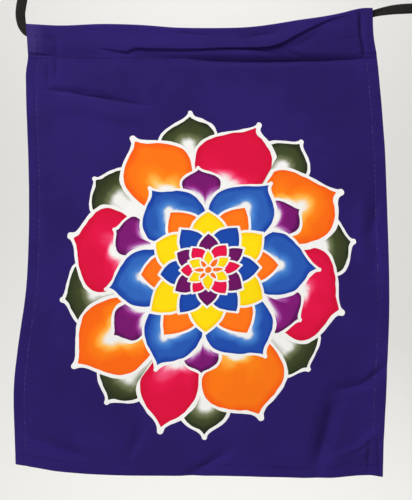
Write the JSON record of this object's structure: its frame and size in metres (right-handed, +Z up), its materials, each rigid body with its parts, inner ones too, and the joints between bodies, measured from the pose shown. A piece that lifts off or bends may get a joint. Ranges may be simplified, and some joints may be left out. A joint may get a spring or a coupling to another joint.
{
  "type": "prayer flag wall hanging",
  "caption": "Rectangular dyed cotton hanging flag with a lotus mandala, on a flat tape run through its top casing and tied into a hanging loop at each end.",
  "frame": {"origin": "middle of the cloth's top edge, halfway between its front and back faces, where the hanging is held up", "axes": "+X to the right as seen from the front, +Z up, and the dyed face looks along -Y"},
  "size_m": [0.3823, 0.0121, 0.446],
  "materials": {
    "dyed_cotton": "matt plain-woven cotton, dyed violet, with wax-resist petals in bright dyes",
    "black_tape": "matt woven cotton tape, faded black"
  },
  "bodies": {
    "root": {"flag_cloth": "dyed_cotton", "tape_in_casing": "black_tape", "tape_left": "black_tape", "tape_right": "black_tape", "loop_left": "black_tape", "loop_right": "black_tape"}
  },
  "joints": []
}
